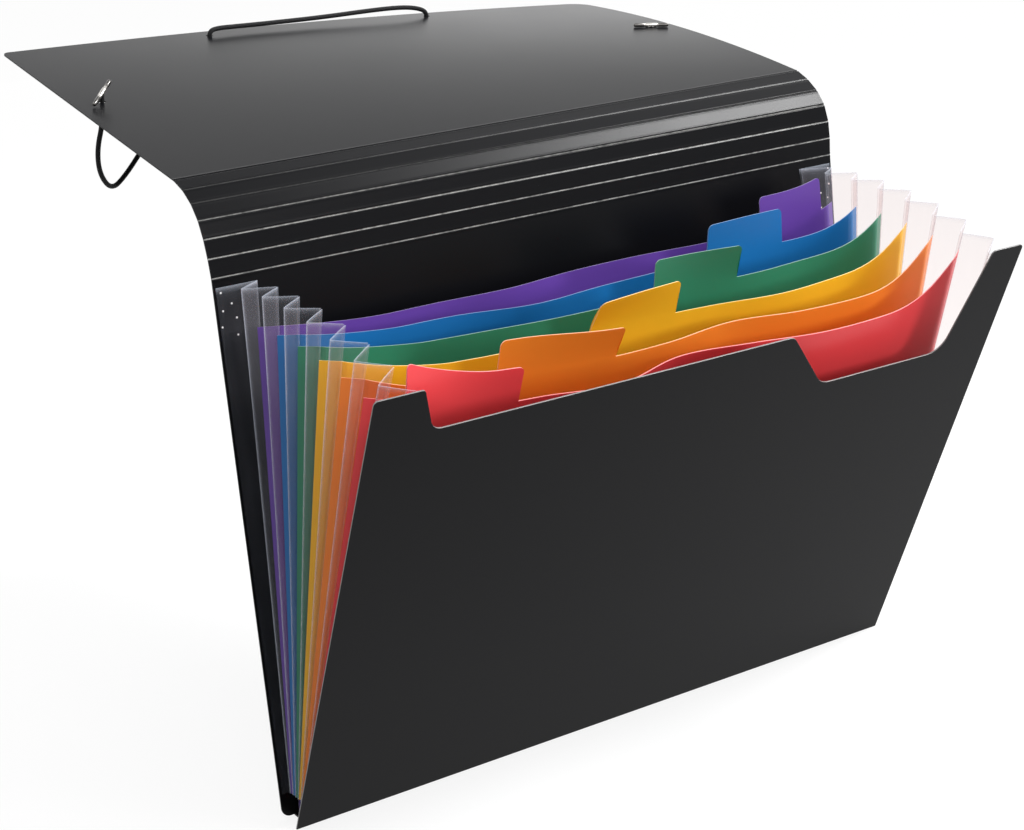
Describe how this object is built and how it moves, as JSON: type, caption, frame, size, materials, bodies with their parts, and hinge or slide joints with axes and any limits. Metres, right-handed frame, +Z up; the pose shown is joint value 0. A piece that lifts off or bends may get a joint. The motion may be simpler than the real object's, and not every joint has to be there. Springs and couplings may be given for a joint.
{
  "type": "accordion file folder",
  "caption": "Expanding file folder with a plastic cover, coloured tabbed dividers, pleated clear side gussets and a long flap with an elastic closure.",
  "frame": {"origin": "on the floor under the base strip, midway across the folder and midway between the first and last pocket walls", "axes": "+X to the right along the panels, +Y to the rear where the flap is thrown back, +Z up"},
  "size_m": [0.33, 0.3282, 0.3069],
  "materials": {
    "cover_black": "satin black polypropylene sheet with a fine grain",
    "gusset_film": "clear hazy polypropylene film",
    "elastic_black": "braided cover on round elastic",
    "barb_steel": "bright crimped steel",
    "sheet_purple": "translucent purple polypropylene sheet",
    "sheet_blue": "translucent blue polypropylene sheet",
    "sheet_green": "translucent green polypropylene sheet",
    "sheet_yellow": "translucent yellow polypropylene sheet",
    "sheet_orange": "translucent orange polypropylene sheet",
    "sheet_red": "translucent red polypropylene sheet"
  },
  "bodies": {
    "back": {"back_panel": "cover_black", "base_strip": "cover_black", "weld_strip_left_back": "gusset_film", "weld_strip_right_back": "gusset_film"},
    "front": {"front_panel": "cover_black", "weld_strip_left_front": "gusset_film", "weld_strip_right_front": "gusset_film"},
    "flap": {"flap_panel": "cover_black", "barb_left": "barb_steel", "barb_right": "barb_steel", "elastic_loop_left": "elastic_black", "elastic_run": "elastic_black", "elastic_loop_right": "elastic_black"},
    "spine_1": {"spine_strip_1": "cover_black"},
    "spine_2": {"spine_strip_2": "cover_black"},
    "spine_3": {"spine_strip_3": "cover_black"},
    "spine_4": {"spine_strip_4": "cover_black"},
    "spine_5": {"spine_strip_5": "cover_black"},
    "spine_6": {"spine_strip_6": "cover_black"},
    "divider_purple": {"divider_purple": "sheet_purple"},
    "divider_blue": {"divider_blue": "sheet_blue"},
    "divider_green": {"divider_green": "sheet_green"},
    "divider_yellow": {"divider_yellow": "sheet_yellow"},
    "divider_orange": {"divider_orange": "sheet_orange"},
    "divider_red": {"divider_red": "sheet_red"},
    "gusset_left_1_rear": {"gusset_left_1_rear": "gusset_film"},
    "gusset_left_1_front": {"gusset_left_1_front": "gusset_film"},
    "gusset_left_2_rear": {"gusset_left_2_rear": "gusset_film"},
    "gusset_left_2_front": {"gusset_left_2_front": "gusset_film"},
    "gusset_left_3_rear": {"gusset_left_3_rear": "gusset_film"},
    "gusset_left_3_front": {"gusset_left_3_front": "gusset_film"},
    "gusset_left_4_rear": {"gusset_left_4_rear": "gusset_film"},
    "gusset_left_4_front": {"gusset_left_4_front": "gusset_film"},
    "gusset_left_5_rear": {"gusset_left_5_rear": "gusset_film"},
    "gusset_left_5_front": {"gusset_left_5_front": "gusset_film"},
    "gusset_left_6_rear": {"gusset_left_6_rear": "gusset_film"},
    "gusset_left_6_front": {"gusset_left_6_front": "gusset_film"},
    "gusset_left_7_rear": {"gusset_left_7_rear": "gusset_film"},
    "gusset_left_7_front": {"gusset_left_7_front": "gusset_film"},
    "gusset_right_1_rear": {"gusset_right_1_rear": "gusset_film"},
    "gusset_right_1_front": {"gusset_right_1_front": "gusset_film"},
    "gusset_right_2_rear": {"gusset_right_2_rear": "gusset_film"},
    "gusset_right_2_front": {"gusset_right_2_front": "gusset_film"},
    "gusset_right_3_rear": {"gusset_right_3_rear": "gusset_film"},
    "gusset_right_3_front": {"gusset_right_3_front": "gusset_film"},
    "gusset_right_4_rear": {"gusset_right_4_rear": "gusset_film"},
    "gusset_right_4_front": {"gusset_right_4_front": "gusset_film"},
    "gusset_right_5_rear": {"gusset_right_5_rear": "gusset_film"},
    "gusset_right_5_front": {"gusset_right_5_front": "gusset_film"},
    "gusset_right_6_rear": {"gusset_right_6_rear": "gusset_film"},
    "gusset_right_6_front": {"gusset_right_6_front": "gusset_film"},
    "gusset_right_7_rear": {"gusset_right_7_rear": "gusset_film"},
    "gusset_right_7_front": {"gusset_right_7_front": "gusset_film"}
  },
  "joints": [
    {"name": "pocket_close", "type": "hinge", "parent": "back", "child": "front", "pos_m": [0, -0.0056, 0.0016], "axis": [-1, 0, 0], "range_deg": [-6, 25.6]},
    {"name": "divider_purple_swing", "type": "hinge", "parent": "back", "child": "divider_purple", "pos_m": [0, 0.004, 0.0016], "axis": [-1, 0, 0], "range_deg": [-0.91, 3.71]},
    {"name": "divider_blue_swing", "type": "hinge", "parent": "back", "child": "divider_blue", "pos_m": [0, 0.0024, 0.0016], "axis": [-1, 0, 0], "range_deg": [-1.76, 7.36]},
    {"name": "divider_green_swing", "type": "hinge", "parent": "back", "child": "divider_green", "pos_m": [0, 0.0008, 0.0016], "axis": [-1, 0, 0], "range_deg": [-2.62, 11.02]},
    {"name": "divider_yellow_swing", "type": "hinge", "parent": "back", "child": "divider_yellow", "pos_m": [0, -0.0008, 0.0016], "axis": [-1, 0, 0], "range_deg": [-3.48, 14.68]},
    {"name": "divider_orange_swing", "type": "hinge", "parent": "back", "child": "divider_orange", "pos_m": [0, -0.0024, 0.0016], "axis": [-1, 0, 0], "range_deg": [-4.34, 18.34]},
    {"name": "divider_red_swing", "type": "hinge", "parent": "back", "child": "divider_red", "pos_m": [0, -0.004, 0.0016], "axis": [-1, 0, 0], "range_deg": [-5.19, 21.99]},
    {"name": "spine_crease_1", "type": "hinge", "parent": "back", "child": "spine_1", "pos_m": [0, 0.02279, 0.23597], "axis": [1, 0, 0], "range_deg": [-5, 22]},
    {"name": "spine_crease_2", "type": "hinge", "parent": "spine_1", "child": "spine_2", "pos_m": [0, 0.02363, 0.24393], "axis": [1, 0, 0], "range_deg": [-5, 22]},
    {"name": "spine_crease_3", "type": "hinge", "parent": "spine_2", "child": "spine_3", "pos_m": [0, 0.02522, 0.25177], "axis": [1, 0, 0], "range_deg": [-5, 22]},
    {"name": "spine_crease_4", "type": "hinge", "parent": "spine_3", "child": "spine_4", "pos_m": [0, 0.02828, 0.25916], "axis": [1, 0, 0], "range_deg": [-16, 47.75]},
    {"name": "spine_crease_5", "type": "hinge", "parent": "spine_4", "child": "spine_5", "pos_m": [0, 0.03332, 0.26537], "axis": [1, 0, 0], "range_deg": [-16, 47.75]},
    {"name": "spine_crease_6", "type": "hinge", "parent": "spine_5", "child": "spine_6", "pos_m": [0, 0.03979, 0.27007], "axis": [1, 0, 0], "range_deg": [-16, 47.75]},
    {"name": "flap_fold", "type": "hinge", "parent": "spine_6", "child": "flap", "pos_m": [0, 0.04718, 0.27313], "axis": [1, 0, 0], "range_deg": [-16, 47.75]},
    {"name": "gusset_left_1_rear_fold", "type": "hinge", "parent": "back", "child": "gusset_left_1_rear", "pos_m": [-0.15984, 0.0059, 0.0116], "axis": [-0.0657, -0.0696, -0.9954], "range_deg": [-8.4, 35.69]},
    {"name": "gusset_left_1_front_fold", "type": "hinge", "parent": "divider_purple", "child": "gusset_left_1_front", "pos_m": [-0.15984, 0.00439, 0.0116], "axis": [0.0657, -0.0015, 0.9978], "range_deg": [-8.4, 35.68]},
    {"name": "gusset_left_2_rear_fold", "type": "hinge", "parent": "divider_purple", "child": "gusset_left_2_rear", "pos_m": [-0.15984, 0.00359, 0.0116], "axis": [-0.0657, 0.0015, -0.9978], "range_deg": [-8.4, 35.68]},
    {"name": "gusset_left_2_front_fold", "type": "hinge", "parent": "divider_blue", "child": "gusset_left_2_front", "pos_m": [-0.15984, 0.00207, 0.0116], "axis": [0.0657, -0.0726, 0.9952], "range_deg": [-8.4, 35.69]},
    {"name": "gusset_left_3_rear_fold", "type": "hinge", "parent": "divider_blue", "child": "gusset_left_3_rear", "pos_m": [-0.15984, 0.00127, 0.01154], "axis": [-0.0657, 0.0726, -0.9952], "range_deg": [-8.4, 35.67]},
    {"name": "gusset_left_3_front_fold", "type": "hinge", "parent": "divider_green", "child": "gusset_left_3_front", "pos_m": [-0.15984, -0.00024, 0.01155], "axis": [0.0657, -0.1433, 0.9875], "range_deg": [-8.41, 35.7]},
    {"name": "gusset_left_4_rear_fold", "type": "hinge", "parent": "divider_green", "child": "gusset_left_4_rear", "pos_m": [-0.15984, -0.00103, 0.01144], "axis": [-0.0657, 0.1433, -0.9875], "range_deg": [-8.39, 35.65]},
    {"name": "gusset_left_4_front_fold", "type": "hinge", "parent": "divider_yellow", "child": "gusset_left_4_front", "pos_m": [-0.15984, -0.00255, 0.01145], "axis": [0.0657, -0.2133, 0.9748], "range_deg": [-8.41, 35.71]},
    {"name": "gusset_left_5_rear_fold", "type": "hinge", "parent": "divider_yellow", "child": "gusset_left_5_rear", "pos_m": [-0.15984, -0.00333, 0.01128], "axis": [-0.0657, 0.2133, -0.9748], "range_deg": [-8.39, 35.64]},
    {"name": "gusset_left_5_front_fold", "type": "hinge", "parent": "divider_orange", "child": "gusset_left_5_front", "pos_m": [-0.15984, -0.00484, 0.0113], "axis": [0.0657, -0.2822, 0.9571], "range_deg": [-8.41, 35.72]},
    {"name": "gusset_left_6_rear_fold", "type": "hinge", "parent": "divider_orange", "child": "gusset_left_6_rear", "pos_m": [-0.15984, -0.00561, 0.01108], "axis": [-0.0657, 0.2822, -0.9571], "range_deg": [-8.39, 35.63]},
    {"name": "gusset_left_6_front_fold", "type": "hinge", "parent": "divider_red", "child": "gusset_left_6_front", "pos_m": [-0.15984, -0.00713, 0.01111], "axis": [0.0657, -0.3497, 0.9346], "range_deg": [-8.41, 35.73]},
    {"name": "gusset_left_7_rear_fold", "type": "hinge", "parent": "divider_red", "child": "gusset_left_7_rear", "pos_m": [-0.15984, -0.00788, 0.01083], "axis": [-0.0657, 0.3497, -0.9346], "range_deg": [-8.39, 35.62]},
    {"name": "gusset_left_7_front_fold", "type": "hinge", "parent": "front", "child": "gusset_left_7_front", "pos_m": [-0.15984, -0.0094, 0.01086], "axis": [0.0657, -0.4154, 0.9073], "range_deg": [-8.42, 35.74]},
    {"name": "gusset_right_1_rear_fold", "type": "hinge", "parent": "back", "child": "gusset_right_1_rear", "pos_m": [0.15984, 0.0059, 0.0116], "axis": [-0.0657, 0.0696, 0.9954], "range_deg": [-8.4, 35.69]},
    {"name": "gusset_right_1_front_fold", "type": "hinge", "parent": "divider_purple", "child": "gusset_right_1_front", "pos_m": [0.15984, 0.00439, 0.0116], "axis": [0.0657, 0.0015, -0.9978], "range_deg": [-8.4, 35.68]},
    {"name": "gusset_right_2_rear_fold", "type": "hinge", "parent": "divider_purple", "child": "gusset_right_2_rear", "pos_m": [0.15984, 0.00359, 0.0116], "axis": [-0.0657, -0.0015, 0.9978], "range_deg": [-8.4, 35.68]},
    {"name": "gusset_right_2_front_fold", "type": "hinge", "parent": "divider_blue", "child": "gusset_right_2_front", "pos_m": [0.15984, 0.00207, 0.0116], "axis": [0.0657, 0.0726, -0.9952], "range_deg": [-8.4, 35.69]},
    {"name": "gusset_right_3_rear_fold", "type": "hinge", "parent": "divider_blue", "child": "gusset_right_3_rear", "pos_m": [0.15984, 0.00127, 0.01154], "axis": [-0.0657, -0.0726, 0.9952], "range_deg": [-8.4, 35.67]},
    {"name": "gusset_right_3_front_fold", "type": "hinge", "parent": "divider_green", "child": "gusset_right_3_front", "pos_m": [0.15984, -0.00024, 0.01155], "axis": [0.0657, 0.1433, -0.9875], "range_deg": [-8.41, 35.7]},
    {"name": "gusset_right_4_rear_fold", "type": "hinge", "parent": "divider_green", "child": "gusset_right_4_rear", "pos_m": [0.15984, -0.00103, 0.01144], "axis": [-0.0657, -0.1433, 0.9875], "range_deg": [-8.39, 35.65]},
    {"name": "gusset_right_4_front_fold", "type": "hinge", "parent": "divider_yellow", "child": "gusset_right_4_front", "pos_m": [0.15984, -0.00255, 0.01145], "axis": [0.0657, 0.2133, -0.9748], "range_deg": [-8.41, 35.71]},
    {"name": "gusset_right_5_rear_fold", "type": "hinge", "parent": "divider_yellow", "child": "gusset_right_5_rear", "pos_m": [0.15984, -0.00333, 0.01128], "axis": [-0.0657, -0.2133, 0.9748], "range_deg": [-8.39, 35.64]},
    {"name": "gusset_right_5_front_fold", "type": "hinge", "parent": "divider_orange", "child": "gusset_right_5_front", "pos_m": [0.15984, -0.00484, 0.0113], "axis": [0.0657, 0.2822, -0.9571], "range_deg": [-8.41, 35.72]},
    {"name": "gusset_right_6_rear_fold", "type": "hinge", "parent": "divider_orange", "child": "gusset_right_6_rear", "pos_m": [0.15984, -0.00561, 0.01108], "axis": [-0.0657, -0.2822, 0.9571], "range_deg": [-8.39, 35.63]},
    {"name": "gusset_right_6_front_fold", "type": "hinge", "parent": "divider_red", "child": "gusset_right_6_front", "pos_m": [0.15984, -0.00713, 0.01111], "axis": [0.0657, 0.3497, -0.9346], "range_deg": [-8.41, 35.73]},
    {"name": "gusset_right_7_rear_fold", "type": "hinge", "parent": "divider_red", "child": "gusset_right_7_rear", "pos_m": [0.15984, -0.00788, 0.01083], "axis": [-0.0657, -0.3497, 0.9346], "range_deg": [-8.39, 35.62]},
    {"name": "gusset_right_7_front_fold", "type": "hinge", "parent": "front", "child": "gusset_right_7_front", "pos_m": [0.15984, -0.0094, 0.01086], "axis": [0.0657, 0.4154, -0.9073], "range_deg": [-8.42, 35.74]}
  ],
  "couplings": [
    {"joint": "divider_purple_swing", "follows": "pocket_close", "ratio": 0.14286},
    {"joint": "divider_blue_swing", "follows": "pocket_close", "ratio": 0.28571},
    {"joint": "divider_green_swing", "follows": "pocket_close", "ratio": 0.42857},
    {"joint": "divider_yellow_swing", "follows": "pocket_close", "ratio": 0.57143},
    {"joint": "divider_orange_swing", "follows": "pocket_close", "ratio": 0.71429},
    {"joint": "divider_red_swing", "follows": "pocket_close", "ratio": 0.85714},
    {"joint": "gusset_left_1_rear_fold", "follows": "pocket_close", "ratio": 1.3921},
    {"joint": "gusset_left_1_front_fold", "follows": "pocket_close", "ratio": 1.3917},
    {"joint": "gusset_left_2_rear_fold", "follows": "pocket_close", "ratio": 1.3917},
    {"joint": "gusset_left_2_front_fold", "follows": "pocket_close", "ratio": 1.3922},
    {"joint": "gusset_left_3_rear_fold", "follows": "pocket_close", "ratio": 1.3913},
    {"joint": "gusset_left_3_front_fold", "follows": "pocket_close", "ratio": 1.3926},
    {"joint": "gusset_left_4_rear_fold", "follows": "pocket_close", "ratio": 1.3908},
    {"joint": "gusset_left_4_front_fold", "follows": "pocket_close", "ratio": 1.393},
    {"joint": "gusset_left_5_rear_fold", "follows": "pocket_close", "ratio": 1.3904},
    {"joint": "gusset_left_5_front_fold", "follows": "pocket_close", "ratio": 1.3934},
    {"joint": "gusset_left_6_rear_fold", "follows": "pocket_close", "ratio": 1.39},
    {"joint": "gusset_left_6_front_fold", "follows": "pocket_close", "ratio": 1.3939},
    {"joint": "gusset_left_7_rear_fold", "follows": "pocket_close", "ratio": 1.3895},
    {"joint": "gusset_left_7_front_fold", "follows": "pocket_close", "ratio": 1.3943},
    {"joint": "gusset_right_1_rear_fold", "follows": "pocket_close", "ratio": 1.3921},
    {"joint": "gusset_right_1_front_fold", "follows": "pocket_close", "ratio": 1.3917},
    {"joint": "gusset_right_2_rear_fold", "follows": "pocket_close", "ratio": 1.3917},
    {"joint": "gusset_right_2_front_fold", "follows": "pocket_close", "ratio": 1.3922},
    {"joint": "gusset_right_3_rear_fold", "follows": "pocket_close", "ratio": 1.3913},
    {"joint": "gusset_right_3_front_fold", "follows": "pocket_close", "ratio": 1.3926},
    {"joint": "gusset_right_4_rear_fold", "follows": "pocket_close", "ratio": 1.3908},
    {"joint": "gusset_right_4_front_fold", "follows": "pocket_close", "ratio": 1.393},
    {"joint": "gusset_right_5_rear_fold", "follows": "pocket_close", "ratio": 1.3904},
    {"joint": "gusset_right_5_front_fold", "follows": "pocket_close", "ratio": 1.3934},
    {"joint": "gusset_right_6_rear_fold", "follows": "pocket_close", "ratio": 1.39},
    {"joint": "gusset_right_6_front_fold", "follows": "pocket_close", "ratio": 1.3939},
    {"joint": "gusset_right_7_rear_fold", "follows": "pocket_close", "ratio": 1.3895},
    {"joint": "gusset_right_7_front_fold", "follows": "pocket_close", "ratio": 1.3943}
  ]
}
